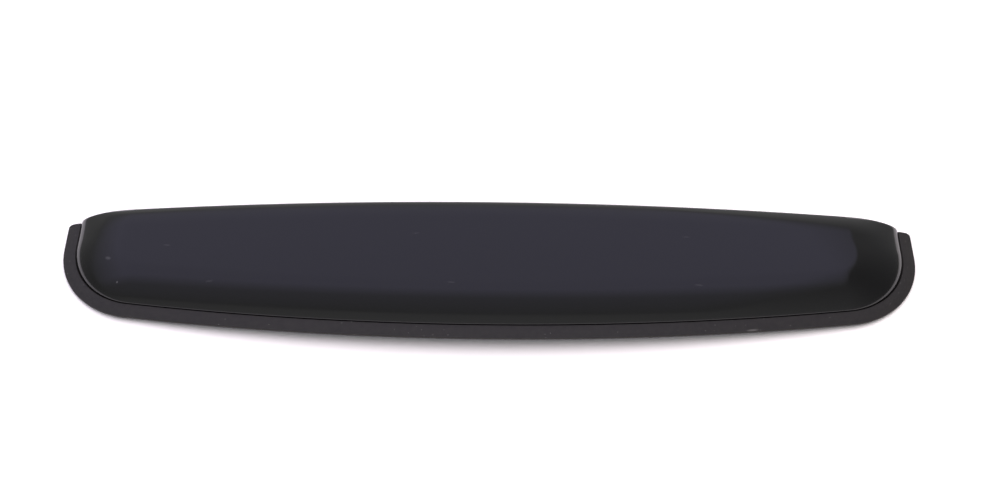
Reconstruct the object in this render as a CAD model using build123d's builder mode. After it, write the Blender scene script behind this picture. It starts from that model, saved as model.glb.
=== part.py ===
"""Sunroof wind deflector: a smoked acrylic visor standing in a rubber seal along the front of a roof.

The frame is +X along the deflector, +Y towards the back of the car and +Z up. The origin is the middle
of the base, level with the lowest edge of the seal.
"""

import os
from math import asin, degrees, radians, sin, sqrt

from build123d import *

# Overall plan, in millimetres
overall_length = 880  # from tip to tip of the seal's two arms
lip_width = 14  # of the seal's lip, from the visor's foot to its tip
visor_depth = 136  # from the front of the visor's foot to its trailing edge
front_radius = 2220  # of the visor's front, in plan
corner_radius = 75  # of the visor's two front corners, in plan
roof_radius = 5700  # of the roof's crown, which the foot follows

# Visor, in millimetres and degrees
wall = 3.0  # thickness of the sheet
visor_height = 38  # from the foot to the top, in the middle
dome_radius = 3800  # of the top, along the deflector
slope_radius = 600  # of the top, from the front to its highest line
edge_roll = 24  # radius that the front and the ends roll over with
trailing_ease = 8  # how much softer the trailing edge rolls over
trailing_turn = 40  # degrees that the trailing edge is turned down
trailing_bevel = 0.8  # along both sides of the trailing edge

# Foot seal, in millimetres
floor = 1.8  # thickness of rubber under the visor
slot_depth = 4.0
slot_lead = 1.2  # bevel along the outer side of the slot's mouth
inner_flange = 2.4  # thickness of the flange inside the visor
lip_tip = 3.0  # thickness of the lip at its tip
tip_bevel = 1.0  # along both sides of the lip's tip
end_round = 2.5  # of the lip's outer corner at each cut end, in plan
seal_setback = 1.0  # from the visor's trailing edge to the seal's cut ends
side_clearance = 0.25  # between the foot rim and each side of the slot
seat_clearance = 0.3  # between the foot rim and the slot's floor

# Places worked out from the sizes
half_length = overall_length / 2 - lip_width
rear = (visor_depth + lip_width) / 2
front = rear - visor_depth
crown = roof_radius - sqrt(roof_radius**2 - half_length**2)
foot_level = crown + floor + seat_clearance
top_level = foot_level + visor_height
seal_height = floor + slot_depth
trailing_roll = edge_roll + trailing_ease
top_line = rear - trailing_roll * sin(radians(trailing_turn))
trailing_plane = Plane.XZ.offset(-rear)

# Extents of the forms that are cut down to the part
run_out = 20
reach = top_level + run_out
slope_angle = degrees(asin((top_line - front + run_out) / slope_radius))
dome_angle = 2 * degrees(asin((half_length + run_out) / dome_radius))
dome_axis = Axis((0, 0, top_level - dome_radius), (0, 1, 0))
dome_start = Plane(dome_axis.position, x_dir=(0, 1, 0), z_dir=(1, 0, 0)).rotated((0, -dome_angle / 2, 0))


def visor_plan(inset):
    """The outline of the visor's foot, running past the trailing edge."""
    with BuildSketch(Plane.XY.offset(-reach)) as plan:
        with Locations((0, front + front_radius)):
            Circle(front_radius)
        with Locations((0, front)):
            Rectangle(2 * half_length, 2 * (visor_depth + run_out), mode=Mode.INTERSECT)
        fillet(plan.vertices().group_by(Axis.Y)[0], corner_radius)
        offset(amount=-inset, kind=Kind.INTERSECTION)
    return plan.sketch


def visor_form(inset):
    """The visor's outer form or, with an inset, the hollow inside its wall."""
    with BuildSketch(dome_start) as section:
        with BuildLine():
            slope_centre = (top_line, dome_radius - slope_radius)
            slope = CenterArc(slope_centre, slope_radius - inset, 90, slope_angle)
            turn_centre = (top_line, dome_radius - trailing_roll)
            turn = CenterArc(turn_centre, trailing_roll - inset, 90, -trailing_turn)
            tail = turn @ 1 + (turn % 1) * run_out
            base = dome_radius - 2 * reach
            Polyline(turn @ 1, tail, (tail.X, base), ((slope @ 1).X, base), slope @ 1)
        make_face()
    with BuildPart() as form:
        revolve(section.sketch, axis=dome_axis, revolution_arc=dome_angle)
        extrude(visor_plan(inset), amount=2 * reach, mode=Mode.INTERSECT)
        fillet(form.edges().filter_by(GeomType.BSPLINE), edge_roll - inset)
    return form.part


def roof_disc(rise):
    """The roof's crown under the foot as the top of a disc, raised by the given rise."""
    with BuildSketch(Plane.XZ) as disc:
        with Locations((0, foot_level - roof_radius)):
            Circle(roof_radius + rise)
    return disc.sketch


# Line along the visor's foot, which the seal follows
with BuildPart() as foot_block:
    extrude(visor_plan(0), amount=2 * reach)
    extrude(roof_disc(0), amount=overall_length, both=True, mode=Mode.SUBTRACT)
foot = foot_block.faces().filter_by(GeomType.CYLINDER).sort_by(SortBy.RADIUS)[-1]
foot_line = Wire(foot.edges().sort_by(Axis.Y)[:-1].sort_by(Axis.X, reverse=True))

# Visor: a rolled and domed shell, open underneath and behind
with BuildPart() as visor_shell:
    add(visor_form(0))
    add(visor_form(wall), mode=Mode.SUBTRACT)
    split(bisect_by=trailing_plane, keep=Keep.TOP)
    trailing_edges = visor_shell.edges().group_by(Axis.Y)[-1]
    chamfer(trailing_edges.filter_by(lambda edge: edge.length > 2 * wall), trailing_bevel)
    extrude(roof_disc(slot_depth), amount=overall_length, both=True, mode=Mode.SUBTRACT)
shell_foot = visor_shell.faces().filter_by(GeomType.CYLINDER).sort_by(SortBy.RADIUS)[-1]

# The shell's foot runs straight down into the slot, and keeps clear of the flange inside
with BuildPart() as foot_rim:
    extrude(shell_foot, amount=2 * slot_depth, dir=(0, 0, -1))
    extrude(roof_disc(0), amount=overall_length, both=True, mode=Mode.SUBTRACT)
    extrude(visor_plan(wall + side_clearance / 2), amount=2 * reach, mode=Mode.SUBTRACT)
with BuildPart() as visor_panel:
    add(visor_shell.part)
    add(foot_rim.part)

# Foot seal: one extruded section, drawn behind the right arm and swept round the foot
with BuildSketch(Plane.XZ.offset(-rear - run_out)) as profile:
    with BuildLine():
        lip_end = half_length + lip_width
        slot_outside = half_length + side_clearance
        slot_inside = half_length - wall - side_clearance
        seal_inside = slot_inside - inner_flange
        Polyline(
            (seal_inside, 0),
            (lip_end, 0),
            (lip_end, lip_tip),
            (slot_outside + slot_lead, seal_height),
            (slot_outside, seal_height - slot_lead),
            (slot_outside, floor),
            (slot_inside, floor),
            (slot_inside, seal_height),
            (seal_inside, seal_height),
            close=True,
        )
    make_face()
    chamfer(profile.vertices().group_by(Axis.X)[-1], tip_bevel)
with BuildSketch(Plane.XY.offset(-reach)) as cut_ends:
    with Locations((0, rear - seal_setback - visor_depth)):
        Rectangle(overall_length, 2 * visor_depth)
    fillet(cut_ends.vertices().group_by(Axis.Y)[-1], end_round)
with BuildPart() as foot_seal:
    sweep(profile.sketch, path=foot_line, binormal=foot_line.moved(Location((0, 0, reach))))
    extrude(cut_ends.sketch, amount=2 * reach, mode=Mode.INTERSECT)

os.makedirs("parts", exist_ok=True)
visor_panel.part.label = "visor_panel"
export_step(visor_panel.part, "parts/visor_panel.step")
foot_seal.part.label = "foot_seal"
export_step(foot_seal.part, "parts/foot_seal.step")
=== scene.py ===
# %% [markdown]
# # Sunroof wind deflector
# A car's wind deflector stands across the roof, just ahead of the sunroof. It is a long visor of smoked
# acrylic, drawn over a former while hot, and its foot stands in an extruded rubber seal.
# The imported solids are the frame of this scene. They set where everything is and how large it is, and the
# cells below build finer pieces over them, give those their finish, and set up the light and the camera.

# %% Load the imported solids
from math import asin, atan2, cos, pi, radians, sin, sqrt

import bmesh
import bpy
from mathutils import Matrix, Vector


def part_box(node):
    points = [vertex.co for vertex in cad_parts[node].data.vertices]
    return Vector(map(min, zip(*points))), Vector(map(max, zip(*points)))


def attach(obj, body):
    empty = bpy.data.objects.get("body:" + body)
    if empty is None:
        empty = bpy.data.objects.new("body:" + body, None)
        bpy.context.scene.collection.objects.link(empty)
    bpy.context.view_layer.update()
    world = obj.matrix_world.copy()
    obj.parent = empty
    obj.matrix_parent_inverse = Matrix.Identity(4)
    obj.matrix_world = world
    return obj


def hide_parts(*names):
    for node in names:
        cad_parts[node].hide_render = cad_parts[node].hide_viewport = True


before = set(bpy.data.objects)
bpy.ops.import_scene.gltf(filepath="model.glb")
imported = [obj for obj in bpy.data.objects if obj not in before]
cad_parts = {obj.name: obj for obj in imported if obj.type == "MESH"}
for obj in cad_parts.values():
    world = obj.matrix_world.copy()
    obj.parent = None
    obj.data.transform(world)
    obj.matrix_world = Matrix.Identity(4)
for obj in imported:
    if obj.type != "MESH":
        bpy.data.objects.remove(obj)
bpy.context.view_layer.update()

# %% [markdown]
# ## The rule behind the visor
# The visor follows a rule that its former gives it. Seen from above, its foot is one long arc with two round
# corners and two short arms. Its top is a dome, turned about an axis far below the car, which slopes to the
# front and turns down at the back. Its corners come from the frame, and the radii are written here in metres.
# The trailing edge stays where the solid has it, but the sheet turns down to it more softly.

# %% Sizes of the visor
visor_low, visor_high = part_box("visor_panel")
seal_low, seal_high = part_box("foot_seal")
lip_width = 0.014
half_length = seal_high[0] - lip_width
front = seal_low[1] + lip_width
rear = visor_high[1]

wall = 0.003
front_radius = 2.220
corner_radius = 0.075
dome_radius = 3.800
slope_radius = 0.600
trailing_roll = 0.060
trailing_turn = radians(26)
trailing_drop = 0.0075  # from the top of the solid to its trailing edge, in the middle
trailing_level = visor_high[2] - trailing_drop

top_level = trailing_level + trailing_roll * (1 - cos(trailing_turn))
dome_axis = top_level - dome_radius
top_line = rear - trailing_roll * sin(trailing_turn)
print(f"visor {2 * half_length:.3f} m long, {rear - front:.3f} m deep, {top_level:.4f} m high")

# %% [markdown]
# ## The outline of the foot
# One number walks along the outline: the distance from the middle of the front. Up to the corner it turns
# slowly, in the corner quickly, and on the arm not at all. The left half is the mirror image, so a negative
# distance only flips the sign of X.

# %% Walk along the outline
corner_heading = asin((half_length - corner_radius) / (front_radius - corner_radius))
arm_start = front + front_radius - (front_radius - corner_radius) * cos(corner_heading)
long_arc = front_radius * corner_heading
corner_arc = corner_radius * (pi / 2 - corner_heading)
full_walk = long_arc + corner_arc + rear - arm_start


def walk(distance):
    """The place and the outward direction at a distance along the outline, in plan."""
    along = abs(distance)
    turned = min(along, long_arc) / front_radius
    heading = turned + min(max(along - long_arc, 0), corner_arc) / corner_radius
    core = front_radius - corner_radius
    x = core * sin(turned) + corner_radius * sin(heading)
    y = front + front_radius - core * cos(turned) - corner_radius * cos(heading)
    y += max(along - long_arc - corner_arc, 0)
    side = 1 if distance >= 0 else -1
    return Vector((side * x, y)), Vector((side * sin(heading), -cos(heading)))


print("corner starts at", [round(v, 4) for v in walk(long_arc)[0]], "half walk", round(full_walk, 4))

# %% [markdown]
# ## Dome and roof
# Two heights are needed over any place in plan: the dome's, and the roof's crown under the foot. The dome
# also gives its two slopes there, because the thickness of the sheet is measured square to it. Towards the
# two ends, the turn of the trailing edge fades out, so the rear corners stand up.

# %% Heights in plan
roof_radius = 5.700
slot_depth = 0.004
corner_fade = 0.060  # width over which the trailing turn fades
corner_turn = 0.1  # share of the trailing turn that is left at the ends


def dome(x, y):
    """Height of the dome at a place in plan, and its slopes along X and Y."""
    share, rate = 1, 0
    if y > top_line and half_length - abs(x) < corner_fade:
        t = (half_length - abs(x)) / corner_fade
        share = corner_turn + (1 - corner_turn) * t * t * (3 - 2 * t)
        rate = (1 - corner_turn) * 6 * t * (t - 1) / corner_fade * (1 if x > 0 else -1)
    bend = trailing_roll if y > top_line else slope_radius
    upright = sqrt(bend**2 - (y - top_line) ** 2)
    rise = sqrt(dome_radius**2 - x**2)
    height = dome_axis + rise - share * (bend - upright)
    return height, Vector((-x / rise - rate * (bend - upright), -share * (y - top_line) / upright))


def roof(x, lift):
    """Height of the roof's crown under the visor's foot, raised by a lift."""
    return visor_low[2] + lift + sqrt(roof_radius**2 - x**2) - sqrt(roof_radius**2 - half_length**2)


print(f"front of the dome {dome(0, front)[0]:.4f} m, foot in front {roof(0, 0):.4f} m")

# %% [markdown]
# ## The rolled edge
# Hot sheet that is drawn over a former doesn't roll over on one radius. It bends slowly at first, and turns
# down sharply only near the foot. So the roll is the sum of a slow fall and a tight one, both counted by the
# share of the way out to the outline. The slow fall is wider at the ends than in front.

# %% Fall of the roll
front_roll, end_roll = 0.034, 0.058  # width of the roll
front_edge, end_edge = 0.0016, 0.0058  # height of its tight fall
slow, quick = 1.8, 18  # powers that shape the two falls


def blend(low, high, out):
    """A value between the front's and the ends', by the direction of the outline."""
    turn = abs(atan2(out.x, -out.y)) / (pi / 2)
    return low + (high - low) * turn**2 * (3 - 2 * turn)


def roll(share, drop, edge):
    """How far the roll has fallen at a share of its width, and how steeply, of a drop with a tight edge."""
    upright = sqrt(1 - share**quick)
    fall = (drop - edge) * share**slow + edge * (1 - upright)
    rate = slow * (drop - edge) * share ** (slow - 1) + quick / 2 * edge * share ** (quick - 1) / upright
    return fall, rate


drop_in_front = dome(0, front)[0] - roof(0, slot_depth)
print("fall at half width in front", round(roll(0.5, drop_in_front, front_edge)[0], 4))

# %% [markdown]
# ## One section of the sheet
# At each station along the outline, a section goes up the sheet: foot, roll, top and the sawn trailing edge,
# whose corners are broken by a small round. Each row of it has a place in plan and a depth under the outer
# side. The inner side has the same rows, counted from the other face of the sheet.

# %% Section of the visor at a station
roll_steps = 34
top_steps = 44
foot_share = 0.9995  # just short of the outline, where the roll would stand upright
edge_break = 0.0008
break_angles = [radians(angle) for angle in (0, 30, 60, 90)]


def section_rows(distance, inset):
    """Places in plan up the section, each with its share of the roll and its depth."""
    foot, out = walk(distance)
    width = blend(front_roll, end_roll, out)
    shares = [foot_share * (1 - (step / roll_steps) ** 2) for step in range(roll_steps + 1)]
    rows = [(foot - out * width * (1 - share), share, inset) for share in shares]
    start = rows[-1][0]
    end_x = (half_length - end_roll) * distance / full_walk
    end = Vector((end_x, max(rear - edge_break, start.y)))
    rows += [(start.lerp(end, step / top_steps), 0, inset) for step in range(1, top_steps + 1)]
    for angle in break_angles[1:]:
        place = Vector((end_x, max(rear - edge_break * (1 - sin(angle)), start.y)))
        rows.append((place, 0, max(inset, edge_break * (1 - cos(angle)))))
    return rows


def section(distance, inset):
    """Points up the outer and the inner side of the sheet at one station."""
    foot, out = walk(distance)
    width, edge = blend(front_roll, end_roll, out), blend(front_edge, end_edge, out)
    drop = dome(*foot)[0] - roof(foot.x, slot_depth)
    outer, inner = [], []
    for place, share, depth in section_rows(distance, inset):
        height, slope = dome(*place)
        fall, rate = roll(share, drop, edge)
        slope -= out * rate / width
        normal = Vector((-slope.x, -slope.y, 1)).normalized()
        outer.append(Vector((*place, height - fall)) - normal * depth)
        inner.append(Vector((*place, height - fall)) - normal * (wall - depth))
    for side in (outer, inner):
        side.insert(0, Vector((side[0].x, side[0].y, roof(side[0].x, 0))))
    return outer, inner


print("points in a section", len(section(0, 0)[0]))

# %% [markdown]
# ## Skin the visor
# The stations lie closer together in the corners, and the last few draw in to break the edge of the sawn
# arms. Each station's outer and inner points make one closed loop, and neighbouring loops are joined with
# faces, as a lofted shell. The two end loops get a strip across the wall. On the arms many points of the top
# fall on one place, so doubles are merged before the faces are turned outwards.
# Geometry Nodes would need some hundred math nodes for this rule, so it is plain mesh code here.

# %% Mesh of the visor
def spread(steps, arm_end):
    """Distances from the middle of the front to near an arm's end, with steps for front, corner and arm."""
    begins = (0, long_arc, long_arc + corner_arc)
    lengths = (long_arc, corner_arc, arm_end - arm_start)
    return [
        begin + length * step / count
        for begin, length, count in zip(begins, lengths, steps)
        for step in range(count)
    ]


def visor_shape(stations):
    """Loops of points at the stations, joined with faces."""
    shape = bmesh.new()
    loops = []
    for distance, inset in stations:
        outer, inner = section(distance, inset)
        loops.append([shape.verts.new(point) for point in outer + inner[::-1]])
    count = len(loops[0])
    for left, right in zip(loops, loops[1:]):
        for step in range(count):
            after = (step + 1) % count
            shape.faces.new((left[step], right[step], right[after], left[after]))
    for loop in (loops[0], loops[-1]):
        for step in range(count // 2 - 1):
            shape.faces.new([loop[step], loop[step + 1], loop[count - 2 - step], loop[count - 1 - step]])
    return shape


def closed_piece(name, data, shape, merge, crease):
    """An object from a shape: doubles merged, faces outwards, and smooth apart from its creases."""
    bmesh.ops.remove_doubles(shape, verts=shape.verts, dist=merge)
    bmesh.ops.recalc_face_normals(shape, faces=shape.faces)
    print(name, len(shape.verts), "points, open edges", sum(not edge.is_manifold for edge in shape.edges))
    shape.to_mesh(data)
    shape.free()
    data.polygons.foreach_set("use_smooth", [True] * len(data.polygons))
    data.set_sharp_from_angle(angle=radians(crease))
    piece = bpy.data.objects.new(name, data)
    bpy.context.collection.objects.link(piece)
    return piece


half = [(distance, 0) for distance in spread((64, 32, 10), rear - edge_break)]
half += [(full_walk - edge_break * (1 - sin(a)), edge_break * (1 - cos(a))) for a in break_angles]
stations = [(-distance, inset) for distance, inset in half[:0:-1]] + half
visor = closed_piece("visor", bpy.data.meshes.new("visor"), visor_shape(stations), merge=2e-6, crease=45)
print(len(stations), "stations")

# %% [markdown]
# ## Colours and nodes
# Colours are written as sRGB hex, the way a colour picker shows them, and one function turns them to linear
# light for Blender. A second small function adds a node with its settings and links, for every tree below.
# A Mix node has its own sockets for each kind of data, so the numbers of those for colours get names.

# %% Helpers for colours and nodes
mix_from, mix_to, mix_result = 6, 7, 2


def colour(code):
    """Linear colour from an sRGB hex code such as #3a3a3c."""
    channels = [int(code[i : i + 2], 16) / 255 for i in (1, 3, 5)]
    return [c / 12.92 if c <= 0.04045 else ((c + 0.055) / 1.055) ** 2.4 for c in channels] + [1.0]


def add_node(tree, kind, inputs=None, **settings):
    """Adds a node, sets its properties, and sets or links its inputs."""
    node = tree.nodes.new(kind)
    for name, value in settings.items():
        setattr(node, name, value)
    for key, value in (inputs or {}).items():
        if isinstance(value, bpy.types.NodeSocket):
            tree.links.new(value, node.inputs[key])
        else:
            node.inputs[key].default_value = value
    return node


def empty_tree(owner):
    """The node tree of a material or a world, with nothing in it."""
    owner.use_nodes = True
    owner.node_tree.nodes.clear()
    return owner.node_tree


def new_material(name):
    """A material with its tree, object coordinates and shader."""
    material = bpy.data.materials.new(name)
    tree = empty_tree(material)
    place = add_node(tree, "ShaderNodeTexCoord").outputs["Object"]
    shader = add_node(tree, "ShaderNodeBsdfPrincipled")
    add_node(tree, "ShaderNodeOutputMaterial", {"Surface": shader.outputs["BSDF"]})
    return material, tree, place, shader


print("the grey #808080 in linear light", [round(c, 4) for c in colour("#808080")])

# %% [markdown]
# ## Marks on the sheet and the lip
# A few specks of dust and short rubbed dashes lie on the sheet, and one pale streak on the seal's lip. Each
# is a soft ellipse in plan, given by its middle, its half length and half width in metres, its turn in
# degrees and its strength. A Mapping node moves and scales it to a circle of radius one, and the strongest of
# all the circles is the mask.

# %% Mask of the marks
visor_marks = [
    (-0.3850, 0.0110, 0.0042, 0.0019, -28, 0.50),
    (-0.3732, -0.0146, 0.0013, 0.0012, 0, 1.00),
    (-0.3252, 0.0209, 0.0052, 0.0009, -8, 0.22),
    (-0.2785, -0.0217, 0.0050, 0.0009, 2, 0.22),
    (-0.0739, 0.0288, 0.0050, 0.0008, 3, 0.20),
    (-0.0375, -0.0291, 0.0050, 0.0009, -6, 0.22),
    (0.1980, 0.0308, 0.0050, 0.0008, 4, 0.20),
    (0.2079, -0.0249, 0.0048, 0.0009, -4, 0.25),
]
seal_marks = [(0.2620, -0.0580, 0.0070, 0.0012, 8, 0.50)]
mark_core = 0.4  # share of an ellipse that has its full strength
mark_height = 1000  # so tall that only the place in plan counts


def marks_mask(tree, place, marks):
    """A mask of soft ellipses, from rows of x, y, half length, half width, turn and strength."""
    strongest = None
    for x, y, long, short, turn, strength in marks:
        local = add_node(
            tree,
            "ShaderNodeMapping",
            {
                "Vector": place,
                "Location": (x, y, 0),
                "Rotation": (0, 0, radians(turn)),
                "Scale": (long, short, mark_height),
            },
            vector_type="TEXTURE",
        )
        away = add_node(tree, "ShaderNodeVectorMath", {0: local.outputs[0]}, operation="LENGTH")
        spot = add_node(
            tree,
            "ShaderNodeMapRange",
            {
                "Value": away.outputs["Value"],
                "From Min": 1.0,
                "From Max": mark_core,
                "To Min": 0.0,
                "To Max": strength,
            },
        )
        if strongest is None:
            strongest = spot.outputs[0]
        else:
            strongest = add_node(
                tree, "ShaderNodeMath", {0: strongest, 1: spot.outputs[0]}, operation="MAXIMUM"
            ).outputs[0]
    return strongest


print(len(visor_marks), "marks on the visor,", len(seal_marks), "on the seal")

# %% [markdown]
# ## Smoked acrylic
# The sheet is cast acrylic with a dark smoke tint, polished on both sides. It is so dark that nearly all that
# the eye gets is the reflection of the room, about 4 % of it face on and more at a glance.
# Hot forming leaves the surface very slightly wavy, so reflections bend, and handling leaves a faint haze.

# %% Material of the visor
smoke, dust = "#0b0b0c", "#4a4a4c"
wave_width, wave_depth = 0.070, 0.00005
haze_width = 0.045
haze_thin, haze_thick = 0.35, 0.75  # levels of the noise
polished, hazed = 0.09, 0.14  # roughness at those levels


def smoked_acrylic():
    material, tree, place, shader = new_material("smoked_acrylic")
    wave = add_node(tree, "ShaderNodeTexNoise", {"Vector": place, "Scale": 1 / wave_width, "Detail": 1.0})
    bump = add_node(
        tree, "ShaderNodeBump", {"Height": wave.outputs["Fac"], "Strength": 1.0, "Distance": wave_depth}
    )
    haze = add_node(tree, "ShaderNodeTexNoise", {"Vector": place, "Scale": 1 / haze_width, "Detail": 5.0})
    polish = add_node(
        tree,
        "ShaderNodeMapRange",
        {
            "Value": haze.outputs["Fac"],
            "From Min": haze_thin,
            "From Max": haze_thick,
            "To Min": polished,
            "To Max": hazed,
        },
    )
    tint = add_node(
        tree,
        "ShaderNodeMix",
        {"Factor": marks_mask(tree, place, visor_marks), mix_from: colour(smoke), mix_to: colour(dust)},
        data_type="RGBA",
    )
    tree.links.new(tint.outputs[mix_result], shader.inputs["Base Color"])
    tree.links.new(polish.outputs[0], shader.inputs["Roughness"])
    tree.links.new(bump.outputs[0], shader.inputs["Normal"])
    shader.inputs["IOR"].default_value = 1.49
    return material


visor.data.materials.append(smoked_acrylic())
print("visor finish", visor.data.materials[0].name)

# %% [markdown]
# ## EPDM rubber
# The seal is extruded EPDM, a matt black rubber that weathers to dark grey. Its skin has a fine mottled grain
# from the die and the talc it is packed in, with tiny pale specks. The real grain is finer than here: it is
# drawn as coarse as it needs to show.

# %% Material of the seal
rubber_dark, rubber_pale, talc = "#171513", "#262421", "#6a6967"
mottle_width = 0.005
grain_width, grain_depth = 0.0016, 0.0004
talc_spacing = 0.006
speck_share = 0.06  # radius of a speck, as a share of the spacing


def epdm_rubber():
    material, tree, place, shader = new_material("epdm_rubber")
    mottle = add_node(tree, "ShaderNodeTexNoise", {"Vector": place, "Scale": 1 / mottle_width, "Detail": 3.0})
    grain = add_node(tree, "ShaderNodeTexNoise", {"Vector": place, "Scale": 1 / grain_width, "Detail": 2.0})
    shade = add_node(
        tree,
        "ShaderNodeMix",
        {"Factor": mottle.outputs["Fac"], mix_from: colour(rubber_dark), mix_to: colour(rubber_pale)},
        data_type="RGBA",
    )
    cells = add_node(tree, "ShaderNodeTexVoronoi", {"Vector": place, "Scale": 1 / talc_spacing})
    speck = add_node(
        tree, "ShaderNodeMath", {0: cells.outputs["Distance"], 1: speck_share}, operation="LESS_THAN"
    )
    pale = add_node(
        tree,
        "ShaderNodeMath",
        {0: speck.outputs[0], 1: marks_mask(tree, place, seal_marks)},
        operation="MAXIMUM",
    )
    skin = add_node(
        tree,
        "ShaderNodeMix",
        {"Factor": pale.outputs[0], mix_from: shade.outputs[mix_result], mix_to: colour(talc)},
        data_type="RGBA",
    )
    bump = add_node(
        tree, "ShaderNodeBump", {"Height": grain.outputs["Fac"], "Strength": 0.6, "Distance": grain_depth}
    )
    tree.links.new(skin.outputs[mix_result], shader.inputs["Base Color"])
    tree.links.new(bump.outputs[0], shader.inputs["Normal"])
    shader.inputs["Roughness"].default_value = 0.62
    shader.inputs["IOR"].default_value = 1.52
    return material


rubber = epdm_rubber()
print("seal finish", rubber.name)

# %% [markdown]
# ## The seal's section and path
# The seal is one extruded section: a sole, a slot that holds the visor's foot, a low flange inside it and a
# lip that runs out over the roof to a thin rounded tip. The section is a small closed curve, drawn from
# the visor's outer face, outwards to the right, and upside down, because Curve to Mesh lays a section's Y
# downwards on a path that runs to the right. The path is the visor's foot line, which rises with the crown of
# the roof. Both are plain curves, so the next step can send one along the other.

# %% Section of the seal
seal_height = 0.0064  # of the flange and of the lip beside the visor
floor_height = 0.0018  # of the rubber under the visor's foot
slot_gap = 0.00008  # between the visor and each side of the slot
slot_lead = 0.0010  # bevel at the slot's mouth
flange = 0.0024
lip_tip = 0.0030  # thickness of the lip at its tip
tip_round = 0.0010
tip_turn = 75  # degrees from the tip's upright face to the lip's top
lip_crown = 0.0005
lip_steps = 10


def lip_top(share):
    """A point on the lip's gently crowned top, from the slot's mouth to the tip's round."""
    start = Vector((slot_gap + slot_lead, seal_height))
    end = Vector((lip_width - tip_round, lip_tip))
    return start.lerp(end, share) + Vector((0, 4 * lip_crown * share * (1 - share)))


def round_corner(centre_y, first, last, steps=5):
    """An arc of the tip's rounding, by angles in degrees."""
    centre_x = lip_width - tip_round
    angles = [radians(first + (last - first) * step / steps) for step in range(steps + 1)]
    return [Vector((centre_x + tip_round * cos(a), centre_y + tip_round * sin(a))) for a in angles]


def poly_curve(name, points, closed):
    """A curve object of straight runs through points in the plane or in space."""
    data = bpy.data.curves.new(name, "CURVE")
    data.dimensions = "3D"
    spline = data.splines.new("POLY")
    spline.points.add(len(points) - 1)
    for target, point in zip(spline.points, points):
        target.co = (*point, 1) if len(point) == 3 else (*point, 0, 1)
    spline.use_cyclic_u = closed
    return bpy.data.objects.new(name, data)


slot_inside = -wall - slot_gap
section_points = [Vector((slot_inside - flange, 0))]
section_points += round_corner(tip_round, -90, 0) + round_corner(lip_tip - tip_round, 0, tip_turn)
section_points += [lip_top(1 - step / lip_steps) for step in range(lip_steps + 1)]
for corner in (
    (slot_gap, seal_height - slot_lead),
    (slot_gap, floor_height),
    (slot_inside, floor_height),
    (slot_inside, seal_height),
    (slot_inside - flange, seal_height),
):
    section_points.append(Vector(corner))
seal_section = poly_curve("seal_section", [(x, -height) for x, height in section_points], True)
print("section of", len(section_points), "points")

# %% [markdown]
# The path takes the same walk along the outline as the visor does. It lies lower by the height of the visor's
# foot over the sole, and ends level with the trailing edge. Its last points lie close together, because the
# lip's corner is rounded there.

# %% Path of the seal
sole_rise = visor_low[2] - seal_low[2]
end_round = 0.004  # of the lip's outer corner at each cut end, in plan
end_angles = [radians(angle) for angle in range(0, 100, 10)]

half = spread((90, 40, 8), rear - end_round)
half += [full_walk - end_round * (1 - sin(angle)) for angle in end_angles]
path_points = []
for distance in [-d for d in half[:0:-1]] + half:
    plan, _ = walk(distance)
    path_points.append(Vector((plan.x, plan.y, roof(plan.x, -sole_rise))))
seal = poly_curve("seal", path_points, False)
bpy.context.collection.objects.link(seal)
print("path of", len(path_points), "points")

# %% [markdown]
# ## Sweep the seal with Geometry Nodes
# Something that follows a path is a natural job for Geometry Nodes. Curve to Mesh sends the section along the
# path with its normals kept upright, and caps the cut ends. The lip's outer corner at each cut end is
# slightly round, so points there are drawn in to a quarter circle. The tree ends in Realize Instances and Set
# Material, and the result is read back as a plain mesh.

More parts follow.
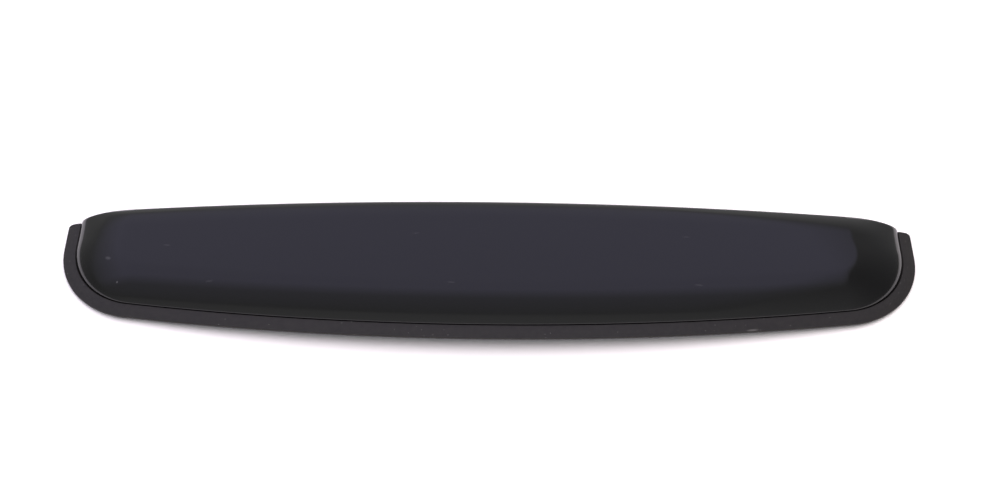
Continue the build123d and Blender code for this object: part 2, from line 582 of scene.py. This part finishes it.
# %% Node tree of the seal
def seal_tree():
    tree = bpy.data.node_groups.new("seal along the foot", "GeometryNodeTree")
    sockets = {}
    for name, kind, side in (
        ("Geometry", "NodeSocketGeometry", "INPUT"),
        ("Section", "NodeSocketObject", "INPUT"),
        ("Cut end", "NodeSocketFloat", "INPUT"),
        ("Lip tip", "NodeSocketFloat", "INPUT"),
        ("Corner round", "NodeSocketFloat", "INPUT"),
        ("Rubber", "NodeSocketMaterial", "INPUT"),
        ("Geometry", "NodeSocketGeometry", "OUTPUT"),
    ):
        sockets[name, side] = tree.interface.new_socket(name, in_out=side, socket_type=kind)
    given = add_node(tree, "NodeGroupInput").outputs
    corner = given["Corner round"]
    section_shape = add_node(tree, "GeometryNodeObjectInfo", {"Object": given["Section"]})
    upright = add_node(tree, "GeometryNodeSetCurveNormal", {"Curve": given["Geometry"]}, mode="Z_UP")
    swept = add_node(
        tree,
        "GeometryNodeCurveToMesh",
        {"Curve": upright.outputs[0], "Profile Curve": section_shape.outputs["Geometry"], "Fill Caps": True},
    )
    spot = add_node(tree, "GeometryNodeInputPosition")
    parts = add_node(tree, "ShaderNodeSeparateXYZ", {0: spot.outputs[0]}).outputs
    start = add_node(tree, "ShaderNodeMath", {0: given["Cut end"], 1: corner}, operation="SUBTRACT")
    past = add_node(tree, "ShaderNodeMath", {0: parts["Y"], 1: start.outputs[0]}, operation="SUBTRACT")
    inside = add_node(tree, "ShaderNodeMath", {0: past.outputs[0], 1: 0.0}, operation="MAXIMUM")
    share = add_node(tree, "ShaderNodeMath", {0: inside.outputs[0], 1: corner}, operation="DIVIDE")
    angle = add_node(tree, "ShaderNodeMath", {0: share.outputs[0]}, operation="ARCSINE")
    flat = add_node(tree, "ShaderNodeMath", {0: angle.outputs[0]}, operation="COSINE")
    loss = add_node(tree, "ShaderNodeMath", {0: 1.0, 1: flat.outputs[0]}, operation="SUBTRACT")
    drawn_in = add_node(tree, "ShaderNodeMath", {0: loss.outputs[0], 1: corner}, operation="MULTIPLY")
    limit = add_node(
        tree, "ShaderNodeMath", {0: given["Lip tip"], 1: drawn_in.outputs[0]}, operation="SUBTRACT"
    )
    mirrored = add_node(tree, "ShaderNodeMath", {0: limit.outputs[0], 1: -1.0}, operation="MULTIPLY")
    kept = add_node(
        tree, "ShaderNodeClamp", {"Value": parts["X"], "Min": mirrored.outputs[0], "Max": limit.outputs[0]}
    )
    moved = add_node(tree, "ShaderNodeCombineXYZ", {"X": kept.outputs[0], "Y": parts["Y"], "Z": parts["Z"]})
    trimmed = add_node(
        tree, "GeometryNodeSetPosition", {"Geometry": swept.outputs[0], "Position": moved.outputs[0]}
    )
    real = add_node(tree, "GeometryNodeRealizeInstances", {"Geometry": trimmed.outputs[0]})
    finished = add_node(
        tree, "GeometryNodeSetMaterial", {"Geometry": real.outputs[0], "Material": given["Rubber"]}
    )
    add_node(tree, "NodeGroupOutput", {0: finished.outputs[0]})
    return tree, sockets


tree, sockets = seal_tree()
sweep = seal.modifiers.new("sweep", "NODES")
sweep.node_group = tree
for name, value in (
    ("Section", seal_section),
    ("Cut end", rear),
    ("Lip tip", half_length + lip_width),
    ("Corner round", end_round),
    ("Rubber", rubber),
):
    sweep[sockets[name, "INPUT"].identifier] = value
print("tree", tree.name, len(tree.nodes), "nodes")

# %% [markdown]
# ## Make the sweep a plain mesh
# The export needs plain meshes, so the evaluated result becomes a mesh object of its own and the curves go.
# Sharp creases stay sharp, and the rest is shaded smooth.

# %% Seal as a mesh
plain = bpy.data.meshes.new_from_object(seal.evaluated_get(bpy.context.evaluated_depsgraph_get()))
for leftover in (seal, seal_section):
    bpy.data.objects.remove(leftover)
seal_shape = bmesh.new()
seal_shape.from_mesh(plain)
seal = closed_piece("seal", plain, seal_shape, merge=1e-6, crease=35)
print("seal corners", [[round(v, 4) for v in corner] for corner in (seal.bound_box[0], seal.bound_box[6])])

# %% [markdown]
# ## Fit the pieces to the frame
# Both pieces ride on the one body and stand for their solids, which are hidden.

# %% Ride and replace
for piece, node, slot in ((visor, "visor_panel", "smoked_acrylic"), (seal, "foot_seal", "seal_rubber")):
    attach(piece, "root")
    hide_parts(node)
    print(piece.name, "stands for", node)

# %% [markdown]
# ## Floor and light
# The deflector lies on a white floor under one very large soft panel, overhead and behind, with a slightly
# cool light. The gloss of the visor shows that panel, so its front edge draws the line where the visor's face
# turns dark. The rest of the room is a plain grey, lighter in front and behind, and a little on the left. The
# floor is white to the camera and in reflections, and keeps the soft shadow.

# %% Floor
floor_size = 30
floor_level = -0.0002  # just under the seal's sole
floor_lit, floor_seen = 0.7, 1.1  # its white for the light that it returns, and for the eye


def white_floor():
    material = bpy.data.materials.new("white_floor")
    tree = empty_tree(material)
    ray = add_node(tree, "ShaderNodeLightPath").outputs
    shiny = add_node(
        tree, "ShaderNodeMath", {0: ray["Is Glossy Ray"], 1: ray["Is Transmission Ray"]}, operation="ADD"
    )
    seen = add_node(
        tree,
        "ShaderNodeMath",
        {0: ray["Is Camera Ray"], 1: shiny.outputs[0]},
        operation="ADD",
        use_clamp=True,
    )
    white = add_node(
        tree,
        "ShaderNodeMix",
        {"Factor": seen.outputs[0], mix_from: [floor_lit] * 3 + [1.0], mix_to: [floor_seen] * 3 + [1.0]},
        data_type="RGBA",
    )
    matt = add_node(tree, "ShaderNodeBsdfDiffuse", {"Color": white.outputs[mix_result]})
    add_node(tree, "ShaderNodeOutputMaterial", {"Surface": matt.outputs[0]})
    return material


floor_mesh = bpy.data.meshes.new("floor")
reach = floor_size / 2
floor_plan = ((-reach, -reach), (reach, -reach), (reach, reach), (-reach, reach))
floor_mesh.from_pydata([(x, y, floor_level) for x, y in floor_plan], [], [(0, 1, 2, 3)])
floor_mesh.materials.append(white_floor())
floor = bpy.data.objects.new("floor", floor_mesh)
bpy.context.collection.objects.link(floor)
print("floor", floor_size, "m wide")

# %% [markdown]
# The big panel is a mesh that glows, because its edges have to fade: cloth in front of a lamp is never
# equally bright out to its edge. Its light is the product of one ramp across and one along, each rising from
# a low neutral level at one edge to full and falling again to the other. In front it fades in two steps, so a
# second ramp with a longer tail is mixed in.

# %% Panel of lit cloth
panel_height = 1.5
across = (-4.0, -1.7, 0.98, 1.32)  # in X: where it is dark, full, still full and dark again
along = (-1.2, -0.5, 1.0, 7.0)  # in Y
tail = (-2.8, -1.2, 1.0, 7.0)  # in Y, of the longer ramp
tail_share = 0.26
cloth_tone = "#e2dfff"
cloth_low, cloth_full = 0.37, 1.06


def ramp(tree, value, stops):
    """A trapezium over one coordinate: dark, full, full, dark."""
    rise = add_node(
        tree,
        "ShaderNodeMapRange",
        {"Value": value, "From Min": stops[0], "From Max": stops[1], "To Min": 0.0, "To Max": 1.0},
    )
    fall = add_node(
        tree,
        "ShaderNodeMapRange",
        {"Value": value, "From Min": stops[2], "From Max": stops[3], "To Min": 1.0, "To Max": 0.0},
    )
    return add_node(
        tree, "ShaderNodeMath", {0: rise.outputs[0], 1: fall.outputs[0]}, operation="MULTIPLY"
    ).outputs[0]


def lit_cloth():
    material = bpy.data.materials.new("lit_cloth")
    tree = empty_tree(material)
    place = add_node(tree, "ShaderNodeTexCoord").outputs["Object"]
    parts = add_node(tree, "ShaderNodeSeparateXYZ", {0: place}).outputs
    deep = add_node(
        tree,
        "ShaderNodeMix",
        {"Factor": tail_share, "A": ramp(tree, parts["Y"], along), "B": ramp(tree, parts["Y"], tail)},
    )
    both = add_node(
        tree, "ShaderNodeMath", {0: ramp(tree, parts["X"], across), 1: deep.outputs[0]}, operation="MULTIPLY"
    )
    full = [cloth_full * part for part in colour(cloth_tone)[:3]]
    cloth = add_node(
        tree,
        "ShaderNodeMix",
        {"Factor": both.outputs[0], mix_from: [cloth_low] * 3 + [1.0], mix_to: full + [1.0]},
        data_type="RGBA",
    )
    light = add_node(tree, "ShaderNodeEmission", {"Color": cloth.outputs[mix_result]})
    add_node(tree, "ShaderNodeOutputMaterial", {"Surface": light.outputs[0]})
    return material


panel_mesh = bpy.data.meshes.new("ceiling_panel")
panel_plan = ((across[0], tail[0]), (across[0], tail[3]), (across[3], tail[3]), (across[3], tail[0]))
panel_mesh.from_pydata([(x, y, panel_height) for x, y in panel_plan], [], [(0, 1, 2, 3)])
panel_mesh.materials.append(lit_cloth())
ceiling = bpy.data.objects.new("ceiling_panel", panel_mesh)
ceiling.visible_camera = False
bpy.context.collection.objects.link(ceiling)
print("panel", across[3] - across[0], "by", tail[3] - tail[0], "m")

# %% [markdown]
# A plain lamp just under the panel brings the light to the level at which white looks white. It stays out of
# the reflections, because the visor shows the panel alone.

# %% Fill lamp
under_panel = 0.05
fill_lamp = bpy.data.lights.new("fill_lamp", "AREA")
fill_lamp.shape = "RECTANGLE"
fill_lamp.size, fill_lamp.size_y = 3.2, 2.4
fill_lamp.energy = 32
fill_lamp.color = colour("#fff3e4")[:3]
fill_light = bpy.data.objects.new("fill_lamp", fill_lamp)
fill_light.location = (0.4, 0.15, panel_height - under_panel)
fill_light.visible_glossy = False
bpy.context.collection.objects.link(fill_light)
print("lamp", fill_lamp.energy, "W")

# %% [markdown]
# The room is the world's own light, in a neutral grey. Its level grows with the square of how far a direction
# points to the front or the back, and a little to the left.

# %% Grey room
room_level = 0.25
depth_gain = 0.39  # in front and behind
left_gain = 0.046


def grey_room():
    world = bpy.data.worlds.new("grey_room")
    tree = empty_tree(world)
    toward = add_node(tree, "ShaderNodeTexCoord").outputs["Generated"]
    parts = add_node(tree, "ShaderNodeSeparateXYZ", {0: toward}).outputs
    depth = add_node(tree, "ShaderNodeMath", {0: parts["Y"], 1: parts["Y"]}, operation="MULTIPLY")
    lift = add_node(
        tree, "ShaderNodeMath", {0: depth.outputs[0], 1: depth_gain, 2: room_level}, operation="MULTIPLY_ADD"
    )
    level = add_node(
        tree, "ShaderNodeMath", {0: parts["X"], 1: -left_gain, 2: lift.outputs[0]}, operation="MULTIPLY_ADD"
    )
    room = add_node(
        tree, "ShaderNodeBackground", {"Color": colour("#ffffff"), "Strength": level.outputs[0]}
    )
    add_node(tree, "ShaderNodeOutputWorld", {"Surface": room.outputs[0]})
    return world


bpy.context.scene.world = grey_room()
bpy.context.scene.view_settings.view_transform = "Standard"
print("room", room_level, "overhead,", room_level + depth_gain, "in front")

# %% [markdown]
# ## Camera
# The view is from in front and well above. A long lens, about 60 mm on a full frame, stands 1.65 m away. The
# frame sits a little high and is tilted by half a degree, so the camera gets a small shift and a roll.

# %% Camera
image_width = 983  # in pixels, as are the focal length and the shift
elevation = radians(53.2)
camera_distance = 1.65
focal_pixels = 1616.6
camera_roll = radians(0.59)
centre_shift = (2.5, 38.7)

lens = bpy.data.cameras.new("camera")
lens.sensor_width = 36
lens.lens = lens.sensor_width * focal_pixels / image_width
lens.shift_x, lens.shift_y = (pixels / image_width for pixels in centre_shift)
camera = bpy.data.objects.new("camera", lens)
stand = (0, -camera_distance * cos(elevation), camera_distance * sin(elevation))
view = Matrix.Rotation(pi / 2 - elevation, 4, "X") @ Matrix.Rotation(camera_roll, 4, "Z")
camera.matrix_world = Matrix.Translation(stand) @ view
bpy.context.collection.objects.link(camera)
bpy.context.scene.camera = camera
print(f"lens {lens.lens:.1f} mm")
